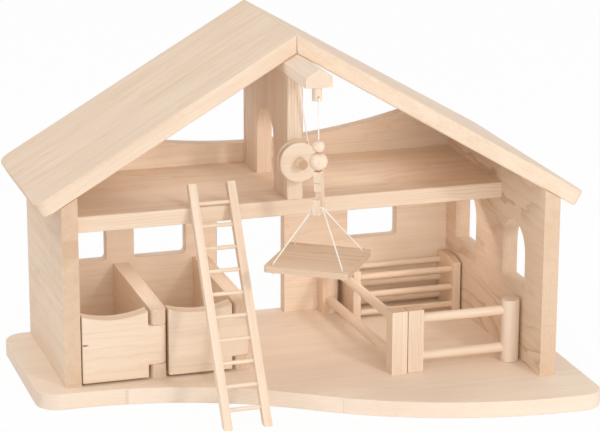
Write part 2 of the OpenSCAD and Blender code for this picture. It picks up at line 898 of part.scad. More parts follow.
base_board();
left_wall();
right_wall();
back_wall();
loft_floor();
centre_partition();
ridge_beam();
roof_left();
roof_right();
base_dowels();
loft_dowels();
hoist_peg();
winch_knob();
winch_wheel();
winch_spool();
winch_winding();
winch_string();
hoist_string();
small_bead();
large_bead();
hook();
tray();
tray_strings();
stall_divider_left();
stall_divider_right();
stall_door_left();
stall_door_right();
left_door_pin();
right_door_pin();
fence_rear_post();
fence_front_post();
fence_rails();
gate_hinge_post();
gate_latch_post();
gate_rails();
gate_pivot_pin();
rack_left_side();
rack_right_side();
rack_bars();
ladder_left_rail();
ladder_right_rail();
ladder_rungs();
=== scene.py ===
"""Looks of the toy barn: planed and turned pale maple with softly eased edges, and twisted cotton string.

Lengths are in metres, in the barn's own frame: x to the right, y to the back, z up, origin under the base.
"""

import json
import math

import bmesh
import bpy
import numpy as np
from mathutils import Matrix, Vector
from mathutils.bvhtree import BVHTree


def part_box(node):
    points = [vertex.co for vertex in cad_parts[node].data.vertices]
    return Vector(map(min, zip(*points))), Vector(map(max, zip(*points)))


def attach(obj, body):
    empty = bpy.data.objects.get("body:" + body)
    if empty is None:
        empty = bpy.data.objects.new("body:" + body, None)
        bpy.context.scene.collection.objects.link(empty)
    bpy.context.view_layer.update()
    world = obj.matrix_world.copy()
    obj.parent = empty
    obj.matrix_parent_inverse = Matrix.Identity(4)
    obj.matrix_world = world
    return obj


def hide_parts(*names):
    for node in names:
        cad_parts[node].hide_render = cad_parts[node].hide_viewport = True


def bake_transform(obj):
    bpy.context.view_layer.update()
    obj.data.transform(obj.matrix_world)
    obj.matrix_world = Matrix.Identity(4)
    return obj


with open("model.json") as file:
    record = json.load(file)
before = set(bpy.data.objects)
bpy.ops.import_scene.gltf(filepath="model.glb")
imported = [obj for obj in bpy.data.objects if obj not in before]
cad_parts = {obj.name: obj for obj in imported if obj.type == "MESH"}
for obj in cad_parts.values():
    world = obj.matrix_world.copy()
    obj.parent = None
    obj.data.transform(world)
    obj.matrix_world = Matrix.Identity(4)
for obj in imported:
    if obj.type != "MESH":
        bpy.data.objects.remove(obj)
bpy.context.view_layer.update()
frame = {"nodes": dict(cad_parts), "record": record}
scene = bpy.context.scene

MM = 0.001
X, Y, Z = Vector((1, 0, 0)), Vector((0, 1, 0)), Vector((0, 0, 1))
ROOF_PITCH = math.radians(30)
LADDER_LEAN = math.radians(31.25)
FENCE_TURN = math.radians(1.7)
HOOK_TURN = math.radians(38)
TRAY_TURN = math.radians(34.5)
BODY_OF = {node: body for body, nodes in frame["record"]["behaviour"]["bodies"].items() for node in nodes}


# ---------------------------------------------------------------- camera

CAMERA_PLACE = (-0.8405, -2.6961, 1.0310)
CAMERA_TURN = math.radians(17.47)  # towards +x from straight ahead
CAMERA_TILT = math.radians(16.26)  # downwards
CAMERA_ROLL = math.radians(0.15)
SENSOR_WIDTH = 36
FOCAL_LENGTH = 144.77


def make_camera():
    """A camera at the photograph's place: it looks along a heading and a downward tilt, rolled slightly."""
    ahead = Vector((math.sin(CAMERA_TURN) * math.cos(CAMERA_TILT),
                    math.cos(CAMERA_TURN) * math.cos(CAMERA_TILT), -math.sin(CAMERA_TILT)))
    level = Vector((math.cos(CAMERA_TURN), -math.sin(CAMERA_TURN), 0))
    upright = level.cross(ahead)
    right = math.cos(CAMERA_ROLL) * level + math.sin(CAMERA_ROLL) * upright
    up = math.cos(CAMERA_ROLL) * upright - math.sin(CAMERA_ROLL) * level
    data = bpy.data.cameras.new("camera")
    data.sensor_width = SENSOR_WIDTH
    data.lens = FOCAL_LENGTH
    camera = bpy.data.objects.new("camera", data)
    turn = Matrix((right, up, -ahead)).transposed().to_4x4()
    camera.matrix_world = Matrix.Translation(CAMERA_PLACE) @ turn
    scene.collection.objects.link(camera)
    scene.camera = camera


make_camera()


# ---------------------------------------------------------------- materials

def new_material(name):
    """A new node material, its node tree and its Principled shader."""
    material = bpy.data.materials.new(name)
    material.use_nodes = True
    tree = material.node_tree
    return material, tree, tree.nodes["Principled BSDF"]


class Maker:
    """Adds nodes to one tree. A formula's method returns the new node's output, so formulas nest."""

    def __init__(self, tree):
        self.tree = tree

    def node(self, kind, **settings):
        made = self.tree.nodes.new(kind)
        for key, value in settings.items():
            setattr(made, key, value)
        return made

    def feed(self, socket, value):
        if isinstance(value, bpy.types.NodeSocket):
            self.tree.links.new(value, socket)
        else:
            socket.default_value = value

    def math(self, operation, *values):
        made = self.node("ShaderNodeMath", operation=operation)
        for socket, value in zip(made.inputs, values):
            self.feed(socket, value)
        return made.outputs[0]

    def vector(self, operation, *values):
        made = self.node("ShaderNodeVectorMath", operation=operation)
        for socket, value in zip(made.inputs, values):
            self.feed(socket, value)
        return made.outputs["Value"] if operation in ("DOT_PRODUCT", "LENGTH") else made.outputs[0]

    def combine(self, x, y, z):
        made = self.node("ShaderNodeCombineXYZ")
        for socket, value in zip(made.inputs, (x, y, z)):
            self.feed(socket, value)
        return made.outputs[0]

    def separate(self, vector):
        made = self.node("ShaderNodeSeparateXYZ")
        self.feed(made.inputs[0], vector)
        return made.outputs

    def noise(self, vector, scale, detail=2.0, roughness=0.5):
        made = self.node("ShaderNodeTexNoise")
        settings = {"Vector": vector, "Scale": scale, "Detail": detail, "Roughness": roughness}
        for key, value in settings.items():
            self.feed(made.inputs[key], value)
        return made.outputs["Fac"]

    def white(self, value):
        made = self.node("ShaderNodeTexWhiteNoise", noise_dimensions="1D")
        self.feed(made.inputs["W"], value)
        return made.outputs

    def span(self, value, low, high, new_low=0.0, new_high=1.0, smooth=False):
        made = self.node("ShaderNodeMapRange", interpolation_type="SMOOTHSTEP" if smooth else "LINEAR")
        for socket, number in zip(made.inputs, (value, low, high, new_low, new_high)):
            self.feed(socket, number)
        return made.outputs[0]

    def mix(self, share, first, second, blend="MIX"):
        made = self.node("ShaderNodeMix", data_type="RGBA", blend_type=blend)
        for key, kind, value in (("Factor", "VALUE", share), ("A", "RGBA", first), ("B", "RGBA", second)):
            self.feed(next(s for s in made.inputs if s.name == key and s.type == kind), value)
        return next(s for s in made.outputs if s.type == "RGBA")


WOOD_PALE = (0.900, 0.735, 0.575, 1)
WOOD_MID = (0.820, 0.625, 0.465, 1)
WOOD_RING = (0.560, 0.370, 0.245, 1)
WOOD_BLEACHED = (0.930, 0.810, 0.690, 1)
WARM_TINT = (0.866, 0.800, 0.740, 1)
GLUE = (0.10, 0.055, 0.03, 1)
DARK_NICK = (0.13, 0.065, 0.03, 1)
BROWN_PATCH = (0.60, 0.40, 0.25, 1)
KNOB_END_BROWN = (0.56, 0.35, 0.20, 1)

# How often each kind of figure changes in a metre, along the grain, across it and through the board
RING_WANDER = (2.2, 9, 9)
RING_PATCHES = (5, 16, 1)
CLOUDS = (6, 12, 1)
STREAKS = (3, 85, 85)
BANDS = (9, 430, 430)
FIBRES = (25, 1100, 1100)
PORES = (130, 1500, 1500)

RING_GAP = 3.4 * MM
WANDER = 20 * MM
PITH_ASIDE = 35 * MM
PITH_BELOW = (50 * MM, 120 * MM)
SEAM_LINE = (0.12 * MM, 0.4 * MM)  # half the width of the dark core, and of the whole line between staves
GLUE_LINE = (0.5 * MM, 0.9 * MM)  # the same for the thicker line where the roofs meet
END_SHADE = 0.95
END_RINGS = 0.35

# Ramps of the wood's tone, from pale to mid: the source's low and high, and what it adds there
STREAK_TONE = (0.35, 0.65, -0.02, 0.57)
CLOUD_TONE = (0.30, 0.70, -0.24, 0.34)
STAVE_TONE = (0, 1, -0.20, 0.26)
BAND_TONE = (0.32, 0.68, -0.26, 0.26)
FIBRE_TONE = (0.35, 0.65, -0.12, 0.12)

# How far the figure moves along and across the board from one seed to the next, and between staves
SEED_ALONG = 0.713
SEED_ACROSS = 0.0371
SEED_CHANCE = 17.0
STAVE_ALONG = 7.0


def grain_turn(grain, face):
    """The turn that takes a board's grain to x and the normal of its broad face to z."""
    along = Vector(grain).normalized()
    out = (Vector(face) - Vector(face).dot(along) * along).normalized()
    return Matrix((along, out.cross(along), out)).to_euler()


def grain_noise(m, spot, rates, detail=2.0, roughness=0.5):
    """Noise in wood, from 0 to 1, drawn out along the grain by its rates per metre."""
    return m.noise(m.vector("MULTIPLY", m.combine(*spot), rates), 1.0, detail, roughness)


def maple(name, grain, face, seed, stave=0.1, figure=1.0, warmth=0.0, fleck=None, glue_plane=None):
    """Pale maple as solid wood. Growth rings are cylinders about a pith that lies under each glued stave;
    they are warped, drawn thin and faint, and cut by every face as in real wood, so that broad faces show
    arches, edges show lines and ends show arcs. Over them lie soft streaks, fine fibres and short pores.
    grain and face are the board's own directions, and warmth darkens the wood, or bleaches it below 0.
    fleck is one darker spot on the front face: its middle, squeeze, inner and outer reach, strength and
    colour. glue_plane is (normal, distance) of a dark glue line that shows on the front face."""
    material, tree, shader = new_material(name)
    m = Maker(tree)
    place = m.node("ShaderNodeTexCoord")
    board = m.node("ShaderNodeMapping")
    m.feed(board.inputs["Vector"], place.outputs["Object"])
    board.inputs["Rotation"].default_value = grain_turn(grain, face)
    board.inputs["Location"].default_value = (seed * SEED_ALONG, (seed * SEED_ACROSS) % stave, 0.0)
    x, y, z = m.separate(board.outputs[0])

    # Glued staves: each has its own pith, tone and start along the grain
    strip = m.math("FLOOR", m.math("DIVIDE", y, stave))
    chance = m.white(m.math("ADD", strip, seed * SEED_CHANCE))
    chance_x, chance_y, chance_z = m.separate(chance["Color"])
    middle = m.math("MULTIPLY", m.math("ADD", strip, 0.5), stave)
    pith_y = m.math("ADD", m.math("SUBTRACT", y, middle), m.span(chance_y, 0, 1, -PITH_ASIDE, PITH_ASIDE))
    pith_z = m.math("ADD", z, m.span(chance_z, 0, 1, *PITH_BELOW))
    start = m.math("ADD", x, m.math("MULTIPLY", chance_x, STAVE_ALONG))
    spot = (start, y, z)

    # Rings, fainter on the ends of a board
    warp = m.span(grain_noise(m, spot, RING_WANDER, 4.0, 0.55), 0.0, 1.0, -WANDER, WANDER)
    radius = m.vector("LENGTH", m.combine(0.0, m.math("ADD", pith_y, warp), m.math("ADD", pith_z, warp)))
    years = m.math("FRACT", m.math("DIVIDE", radius, RING_GAP))
    late = m.math("MULTIPLY", m.math("POWER", years, 4.0), m.span(years, 1.0, 0.90, 0.0, 1.0))
    patch = grain_noise(m, spot, RING_PATCHES, 1.0)
    along = tuple(Vector(grain).normalized())
    facing = m.math("ABSOLUTE", m.vector("DOT_PRODUCT", place.outputs["Normal"], along))
    end = m.span(facing, 0.72, 0.95, 0.0, END_SHADE, smooth=True)
    rings = m.math("MULTIPLY", late, m.span(patch, 0.42, 0.62, 0.15, 1.0))
    rings = m.math("MULTIPLY", rings, m.span(end, 0.0, 1.0, 1.0, END_RINGS))

    # Streaks along the grain, fine fibres and pores
    streaks = grain_noise(m, spot, STREAKS, 3.0, 0.55)
    fibres = grain_noise(m, spot, FIBRES, 2.0, 0.6)
    pores = m.span(grain_noise(m, spot, PORES, 1.0), 0.66, 0.74)
    bands = grain_noise(m, spot, BANDS, 2.0, 0.6)
    clouds = grain_noise(m, spot, CLOUDS)

    tone = m.span(streaks, *STREAK_TONE)
    for source, ramp in ((clouds, CLOUD_TONE), (chance["Value"], STAVE_TONE), (bands, BAND_TONE),
                         (fibres, FIBRE_TONE)):
        tone = m.math("ADD", tone, m.span(source, *ramp))
    colour = m.mix(m.span(tone, 0.0, 1.0), WOOD_PALE, WOOD_MID)
    colour = m.mix(m.math("MULTIPLY", rings, 0.50 * figure), colour, WOOD_RING)
    colour = m.mix(m.math("MULTIPLY", pores, 0.16), colour, WOOD_RING)

    # End grain is a little darker and warmer
    colour = m.mix(end, colour, WARM_TINT, "MULTIPLY")
    if warmth > 0:
        colour = m.mix(warmth, colour, WARM_TINT, "MULTIPLY")
    if warmth < 0:
        colour = m.mix(-warmth, colour, WOOD_BLEACHED)
    nearest_seam = m.math("MULTIPLY", m.math("ROUND", m.math("DIVIDE", y, stave)), stave)
    from_seam = m.math("ABSOLUTE", m.math("SUBTRACT", y, nearest_seam))
    colour = m.mix(m.span(from_seam, *SEAM_LINE, 0.28, 0.0), colour, WOOD_RING)
    front = m.span(m.vector("DOT_PRODUCT", place.outputs["Normal"], (0, -1, 0)), 0.75, 0.9)
    if glue_plane:
        normal, distance = glue_plane
        off = m.math("SUBTRACT", m.vector("DOT_PRODUCT", place.outputs["Object"], tuple(normal)), distance)
        line = m.math("MULTIPLY", front, m.span(m.math("ABSOLUTE", off), *GLUE_LINE, 0.8, 0.0))
        colour = m.mix(line, colour, GLUE)
    if fleck:
        middle, squeeze, inner, outer, strength, stain = fleck
        away = m.vector("MULTIPLY", m.vector("SUBTRACT", place.outputs["Object"], middle), squeeze)
        share = m.span(m.vector("LENGTH", away), inner, outer, strength, 0.0, smooth=True)
        colour = m.mix(m.math("MULTIPLY", front, share), colour, stain)

    m.feed(shader.inputs["Base Color"], colour)
    m.feed(shader.inputs["Roughness"], m.span(fibres, 0.3, 0.7, 0.50, 0.64))
    shader.inputs["Specular IOR Level"].default_value = 0.32
    height = m.math("ADD", m.math("MULTIPLY", fibres, 0.6), m.math("MULTIPLY", pores, -0.7))
    height = m.math("ADD", height, m.math("MULTIPLY", rings, -0.25))
    bump = m.node("ShaderNodeBump")
    bump.inputs["Strength"].default_value = 0.35
    bump.inputs["Distance"].default_value = 0.18 * MM
    m.feed(bump.inputs["Height"], height)
    m.feed(shader.inputs["Normal"], bump.outputs[0])
    return material


COTTON_SHADE = (0.88, 0.84, 0.78, 1)
COTTON_LIGHT = (0.97, 0.95, 0.91, 1)
COTTON_SOIL = (0.78, 0.70, 0.60, 1)
HAIRS_PER_METRE = 2600.0
SOIL_PER_METRE = 90.0


def cotton(name):
    """Off-white twisted cotton: its strands are in the mesh, and fine hairs and a soft sheen are here."""
    material, tree, shader = new_material(name)
    m = Maker(tree)
    place = m.node("ShaderNodeTexCoord").outputs["Object"]
    hairs = m.noise(place, HAIRS_PER_METRE, 3.0, 0.65)
    soil = m.noise(place, SOIL_PER_METRE, 2.0)
    colour = m.mix(m.span(hairs, 0.3, 0.7), COTTON_SHADE, COTTON_LIGHT)
    colour = m.mix(m.span(soil, 0.35, 0.75, 0.0, 0.2), colour, COTTON_SOIL)
    m.feed(shader.inputs["Base Color"], colour)
    m.feed(shader.inputs["Roughness"], m.span(hairs, 0.2, 0.8, 0.82, 0.95))
    shader.inputs["Specular IOR Level"].default_value = 0.15
    shader.inputs["Sheen Weight"].default_value = 0.25
    bump = m.node("ShaderNodeBump")
    bump.inputs["Strength"].default_value = 0.4
    bump.inputs["Distance"].default_value = 0.1 * MM
    m.feed(bump.inputs["Height"], hairs)
    m.feed(shader.inputs["Normal"], bump.outputs[0])
    return material


# ---------------------------------------------------------------- eased wooden pieces

TOUCH = 0.12 * MM  # surfaces this near each other are a glued or seated joint
SHARP = math.radians(30)  # an edge that turns more than this is eased
FLAT = math.radians(0.3)  # faces that turn less than this are one flat face
SAME_PLACE = 0.001 * MM
EDGE_PROBES = (0.02, 0.5, 0.98)  # where along an edge a neighbour is looked for


def merged_copy(node):
    """The CAD node's faces as one connected bmesh, its flat faces whole and its round ones in facets."""
    mesh = bmesh.new()
    mesh.from_mesh(frame["nodes"][node].data)
    bmesh.ops.remove_doubles(mesh, verts=mesh.verts, dist=SAME_PLACE)
    bmesh.ops.dissolve_limit(mesh, angle_limit=FLAT, verts=mesh.verts, edges=mesh.edges)
    mesh.normal_update()
    return mesh


def surface_trees():
    """For each CAD node its box and a search tree of its surface."""
    trees = {}
    for node, piece in frame["nodes"].items():
        points = [v.co.copy() for v in piece.data.vertices]
        faces = [tuple(p.vertices) for p in piece.data.polygons]
        trees[node] = (*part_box(node), BVHTree.FromPolygons(points, faces))
    return trees


TREES = surface_trees()


def touches(point, others):
    """Whether a point lies on the surface of one of the other nodes."""
    for low, high, tree in others:
        if all(low[i] - TOUCH <= point[i] <= high[i] + TOUCH for i in range(3)):
            if tree.find_nearest(point, TOUCH)[0] is not None:
                return True
    return False


def near_nodes(node):
    """The boxes and trees of the other nodes whose boxes touch this one's."""
    low, high, _ = TREES[node]
    return [box for name, box in TREES.items() if name != node
            and all(box[0][i] - TOUCH <= high[i] and low[i] <= box[1][i] + TOUCH for i in range(3))]


def eased(node, ease, material, seam=0.45 * MM, steps=3):
    """A copy of a wooden CAD node whose sharp edges are rounded by ease. An edge that lies on a neighbour
    all along is a joint, and gets only a hairline of width seam."""
    mesh = merged_copy(node)
    others = near_nodes(node)
    weight = mesh.edges.layers.float.new("bevel_weight_edge")
    for edge in mesh.edges:
        if len(edge.link_faces) == 2 and edge.calc_face_angle() > SHARP:
            a, b = (v.co for v in edge.verts)
            joint = all(touches(a.lerp(b, share), others) for share in EDGE_PROBES)
            edge[weight] = seam / ease if joint else 1.0
            edge.smooth = False
    for face in mesh.faces:
        face.smooth = True
    data = bpy.data.meshes.new(node + "_eased")
    mesh.to_mesh(data)
    mesh.free()
    piece = bpy.data.objects.new(node + "_eased", data)
    scene.collection.objects.link(piece)
    bevel = piece.modifiers.new("eased edges", "BEVEL")
    bevel.limit_method = "WEIGHT"
    bevel.width = ease
    bevel.segments = steps
    bevel.harden_normals = True
    return stand_for(piece, node, material)


def stand_for(piece, node, material):
    """The piece takes the node's place, body and slot."""
    piece.data.materials.append(material)
    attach(piece, BODY_OF[node])
    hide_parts(node)
    return piece


# ---------------------------------------------------------------- turned pieces and string

CREASE = math.radians(50)


def surface(name, points, closed_rows, closed_columns):
    """A smooth mesh from a grid of points, rows by columns, joined round where it is closed."""
    rows, columns = points.shape[:2]
    index = np.arange(rows * columns).reshape(rows, columns)
    below = np.roll(index, -1, 0) if closed_rows else index[1:]
    above = index if closed_rows else index[:-1]
    if closed_columns:
        quads = np.stack([above, np.roll(above, -1, 1), np.roll(below, -1, 1), below], -1).reshape(-1, 4)
    else:
        quads = np.stack([above[:, :-1], above[:, 1:], below[:, 1:], below[:, :-1]], -1).reshape(-1, 4)
    faces = quads.tolist()
    if closed_columns and not closed_rows:
        faces += [index[0, ::-1].tolist(), index[-1].tolist()]
    data = bpy.data.meshes.new(name)
    data.from_pydata(points.reshape(-1, 3).tolist(), [], faces)
    data.update()
    tidy = bmesh.new()
    tidy.from_mesh(data)
    bmesh.ops.recalc_face_normals(tidy, faces=tidy.faces)
    tidy.to_mesh(data)
    tidy.free()
    data.shade_smooth()
    data.set_sharp_from_angle(angle=CREASE)
    piece = bpy.data.objects.new(name, data)
    scene.collection.objects.link(piece)
    return piece


def turned(name, profile, centre, axis, sides=96):
    """A lathe surface: the closed profile of (radius, height) points carried once round the axis."""
    profile = np.asarray(profile, float)
    angles = np.linspace(0, 2 * np.pi, sides, endpoint=False)
    axis = np.asarray(axis, float)
    first = np.cross(axis, (0, 0, 1) if abs(axis[2]) < 0.9 else (1, 0, 0))
    first /= np.linalg.norm(first)
    second = np.cross(axis, first)
    round_it = np.cos(angles)[:, None] * first + np.sin(angles)[:, None] * second
    points = (np.asarray(centre) + profile[:, 1, None, None] * axis
              + profile[:, 0, None, None] * round_it[None])
    return surface(name, points, True, True)


def arc(centre, radius, start, end, count=7):
    """Points of an arc in the profile's plane, from one angle in degrees to another."""
    angle = np.radians(np.linspace(start, end, count))
    return np.stack([centre[0] + radius * np.cos(angle), centre[1] + radius * np.sin(angle)], -1)


def disc_profile(inner, outer, low, high, ease):
    """A ring's section: straight bore and faces, its two outer corners rounded by ease."""
    return np.vstack([[(inner, low)], arc((outer - ease, low + ease), ease, -90, 0),
                      arc((outer - ease, high - ease), ease, 0, 90), [(inner, high)]])


BEAD_STEPS = 49


def bead_profile(radius, bore):
    """A bead's section: a circle's arc from rim to rim of the bore, the rims slightly rounded."""
    rim = math.degrees(math.acos((bore + 0.5 * MM) / radius))
    outside = arc((0, 0), radius, -rim, rim, BEAD_STEPS)
    lip = math.sqrt(radius * radius - bore * bore) - 0.45 * MM
    rounding_r, rounding_z = bore + 0.12 * MM, lip + 0.3 * MM
    return np.vstack([outside, [(rounding_r, rounding_z), (bore, lip), (bore, -lip),
                                (rounding_r, -rounding_z)]])


def softened(route, passes=3):
    """Corner cutting: each pass replaces a corner by points a quarter and three quarters along its sides."""
    line = np.asarray(route, float)
    for _ in range(passes):
        ahead, behind = line[1:], line[:-1]
        cut = np.stack([0.75 * behind + 0.25 * ahead, 0.25 * behind + 0.75 * ahead], 1).reshape(-1, 3)
        line = np.vstack([line[:1], cut, line[-1:]])
    return line


def evenly(line, step):
    """The line's points at equal steps of its length."""
    along = np.concatenate([[0], np.cumsum(np.linalg.norm(np.diff(line, axis=0), axis=1))])
    count = max(int(round(along[-1] / step)), 2)
    stations = np.linspace(0, along[-1], count + 1)
    return np.stack([np.interp(stations, along, line[:, i]) for i in range(3)], -1)


STRING_D = 1.6 * MM
LAY = 4.2 * MM  # length of one turn of the strands
STRANDS = 3
LOBE_DEPTH = 0.12  # how deep the furrows between strands are, as a share of the radius
STRING_SIDES = 18
KNOT_STEPS = 72
KNOT_SIDES = 12
KNOT_STRING_R = 0.45 * STRING_D  # a little thinner than the string, because the knot is pulled tight


def string(name, line, side, body, material, nodes, step=0.45 * MM):
    """A twisted string along a line: a section of three lobes that turns once in each lay. Its radius is
    the string's where |cos(1.5 a)| is 1, at an angle a round it, and less by LOBE_DEPTH where that is 0."""
    line = evenly(line, step)
    heading = np.gradient(line, axis=0)
    heading /= np.linalg.norm(heading, axis=1, keepdims=True)
    first = np.cross(np.asarray(side, float), heading)
    first /= np.linalg.norm(first, axis=1, keepdims=True)
    second = np.cross(heading, first)
    angles = np.linspace(0, 2 * np.pi, STRING_SIDES, endpoint=False)
    turn = 2 * np.pi * np.arange(len(line)) * step / LAY
    lobes = np.abs(np.cos(STRANDS / 2 * (angles[None] - turn[:, None])))
    radius = STRING_D / 2 * (1 - LOBE_DEPTH + LOBE_DEPTH * lobes)
    points = (line[:, None] + (radius * np.cos(angles))[..., None] * first[:, None]
              + (radius * np.sin(angles))[..., None] * second[:, None])
    piece = surface(name, points, False, True)
    piece.data.materials.append(material)
    if body:
        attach(piece, body)
    if nodes:
        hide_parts(*nodes)
    return piece, line


def knot(name, centre, size, body, material):
    """An overhand knot: a tube along the trefoil x = sin t + 2 sin 2t, y = cos t - 2 cos 2t,
    z = -1.6 sin 3t, scaled so that the knot is size across."""
    t = np.linspace(0, 2 * np.pi, KNOT_STEPS, endpoint=False)
    core = np.stack([np.sin(t) + 2 * np.sin(2 * t), np.cos(t) - 2 * np.cos(2 * t), -1.6 * np.sin(3 * t)], -1)
    reach = size / 2 - KNOT_STRING_R
    core = core / 3.0 * reach
    heading = np.roll(core, -1, 0) - np.roll(core, 1, 0)
    heading /= np.linalg.norm(heading, axis=1, keepdims=True)
    first = np.cross(heading, (0, 0, 1))
    first /= np.linalg.norm(first, axis=1, keepdims=True)
    second = np.cross(heading, first)
    angles = np.linspace(0, 2 * np.pi, KNOT_SIDES, endpoint=False)
    ring = KNOT_STRING_R * (np.cos(angles)[None, :, None] * first[:, None]
                            + np.sin(angles)[None, :, None] * second[:, None])
    piece = surface(name, np.asarray(centre) + core[:, None] + ring, True, True)
    piece.data.materials.append(material)
    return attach(piece, body)


# ---------------------------------------------------------------- the hoist's strings

base_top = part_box("base_board")[1].z
beam_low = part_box("ridge_beam")[0].z
peg_low, peg_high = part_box("hoist_peg")
PEG_Y = (peg_low.y + peg_high.y) / 2
PEG_HOLE_Z = beam_low - 12.2 * MM
BORE_Z = beam_low + 7 * MM
LIP_Z = PEG_HOLE_Z - 1.3 * MM  # lower lip of the peg's front hole, which the string bends round
STRING_Y = (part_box("large_bead")[0].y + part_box("large_bead")[1].y) / 2
BEND_R = peg_low.y - STRING_Y
STRING_TOP = PEG_HOLE_Z - 5 * MM
WINCH_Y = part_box("winch_wheel")[0].y
WINCH_Z = (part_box("winch_wheel")[0].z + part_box("winch_wheel")[1].z) / 2
WIND_R = 17.1 * MM
WIND_TURNS = 2.75
WIND_PITCH = 2.2 * MM
WIND_EXIT_Y = WINCH_Y + 12.2 * MM
leave_angle = math.asin(WIND_R / (beam_low - WINCH_Z))


def winding_line(turns):
    """The string's line on the spool: a helix that runs clockwise from the spool's right side, and comes
    forward by one pitch a turn."""
    angle = leave_angle - 2 * np.pi * turns
    return np.stack([WIND_R * np.cos(angle), WIND_EXIT_Y - turns * WIND_PITCH,
                     WINCH_Z + WIND_R * np.sin(angle)], -1)


def onward(point, heading, distance):
    """The point at a distance from another one, in the direction of a heading."""
    return point + distance * heading / np.linalg.norm(heading)


beam_exit = np.array((0, WIND_EXIT_Y, beam_low))
winding = winding_line(np.linspace(0, WIND_TURNS, 200))
leave_end = onward(winding[0], beam_exit - winding[0], STRING_D)
winding_end = onward(winding[-1], winding[-1] - winding[-2], STRING_D)

beam_route = [
    leave_end,
    (leave_end + beam_exit) / 2,
    beam_exit,
    (0, WIND_EXIT_Y, BORE_Z - 0.9 * MM),
    (0, WIND_EXIT_Y - 0.7 * MM, BORE_Z + 0.2 * MM),
    (0, WIND_EXIT_Y - 3.5 * MM, BORE_Z + 0.3 * MM),
    (0, PEG_Y + 3.5 * MM, BORE_Z + 0.3 * MM),
    (0, PEG_Y + 0.7 * MM, BORE_Z + 0.2 * MM),
    (0, PEG_Y, BORE_Z - 0.9 * MM),
    (0, PEG_Y, PEG_HOLE_Z + 0.9 * MM),
    (0, PEG_Y - 0.7 * MM, LIP_Z + BEND_R + 0.1 * MM),
    (0, PEG_Y - 2 * MM, LIP_Z + BEND_R),
    (0, peg_low.y, LIP_Z + BEND_R),
    (0, peg_low.y - 0.5 * BEND_R, LIP_Z + 0.87 * BEND_R),
    (0, peg_low.y - 0.87 * BEND_R, LIP_Z + 0.5 * BEND_R),
    (0, STRING_Y, LIP_Z),
    (0, STRING_Y, STRING_TOP),
]

tray_low, tray_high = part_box("tray")
HOLE = 42.75 * MM  # from the tray's middle to its holes, both ways
LOOP_Z = base_top + 225.15 * MM  # where the tray's strings lie in the hook's slot
HOOK_T = 8.5 * MM
KNOT_D = 4.2 * MM


def from_tray_frame(points):
    """Points given forward, sideways and up from the hoist's line, turned with the tray."""
    angle = -math.pi / 2 - TRAY_TURN
    points = np.atleast_2d(np.asarray(points, float))
    return np.stack([points[:, 0] * math.cos(angle) - points[:, 1] * math.sin(angle),
                     STRING_Y + points[:, 0] * math.sin(angle) + points[:, 1] * math.cos(angle),
                     points[:, 2]], -1)


def tray_route(side):
    """From one corner's knot up through the hook's slot to the next corner: side 1 is the front pair."""
    top, bottom = tray_high.z, tray_low.z - 1.5 * MM
    u, v = side * 1.2 * MM, HOOK_T / 2
    return [(side * HOLE, -HOLE, bottom),
            (side * HOLE, -HOLE, top),
            (side * (HOLE - 2.5 * MM), 2.4 * MM - HOLE, top + 4.5 * MM),
            (u, -v - 2.2 * MM, LOOP_Z - 2.2 * MM),
            (u, -v - 0.45 * MM, LOOP_Z),
            (u, v + 0.45 * MM, LOOP_Z),
            (u, v + 2.2 * MM, LOOP_Z - 2.2 * MM),
            (side * (HOLE - 2.5 * MM), HOLE - 2.4 * MM, top + 4.5 * MM),
            (side * HOLE, HOLE, top),
            (side * HOLE, HOLE, bottom)]


def make_strings():
    """The winding, the string through the beam, the stretching part above the hook, and the two strings
    that the tray hangs on."""
    fabric = cotton("cotton_string")
    wound, line = string("winch_winding_string", np.vstack([[leave_end], winding, [winding_end]]), Y, "root",
                         fabric, ["winch_winding"])
    fixed, line = string("beam_string", softened(beam_route), X, "root", fabric, ["winch_string"])
    low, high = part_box("hoist_string")
    drop = np.array([(0, STRING_Y, high.z), (0, STRING_Y, low.z)])
    lift, line = string("lift_string", drop, X, None, fabric, ["hoist_string"])
    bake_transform(lift)
    for label, side in (("front", 1), ("back", -1)):
        route = from_tray_frame(softened(tray_route(side), 2))
        # Leaning, so that it is nowhere along the string and the section keeps its turn
        sideways = from_tray_frame([(side, 0, 0)])[0] - from_tray_frame([(0, 0, 0)])[0] + 0.2 * np.array(Z)
        hung, line = string(f"tray_string_{label}", route, sideways, "tray", fabric,
                            ["tray_strings"] if side == 1 else [])
        knots = [knot(f"tray_knot_{label}_{end}", from_tray_frame(
            [(side * HOLE, where, tray_low.z - KNOT_D / 2 - 0.05 * MM)])[0], KNOT_D, "tray", fabric)
            for end, where in (("left", -HOLE), ("right", HOLE))]


make_strings()


# ---------------------------------------------------------------- wooden pieces

slope_left = (math.cos(ROOF_PITCH), 0, math.sin(ROOF_PITCH))
slope_right = (math.cos(ROOF_PITCH), 0, -math.sin(ROOF_PITCH))
ladder_way = (0, math.sin(LADDER_LEAN), math.cos(LADDER_LEAN))
fence_way = (-math.sin(FENCE_TURN), math.cos(FENCE_TURN), 0)
tray_way = (math.cos(TRAY_TURN), -math.sin(TRAY_TURN), 0)
hook_front = (-math.sin(HOOK_TURN), -math.cos(HOOK_TURN), 0)
roof_face_left = (-math.sin(ROOF_PITCH), 0, math.cos(ROOF_PITCH))
roof_face_right = (math.sin(ROOF_PITCH), 0, math.cos(ROOF_PITCH))

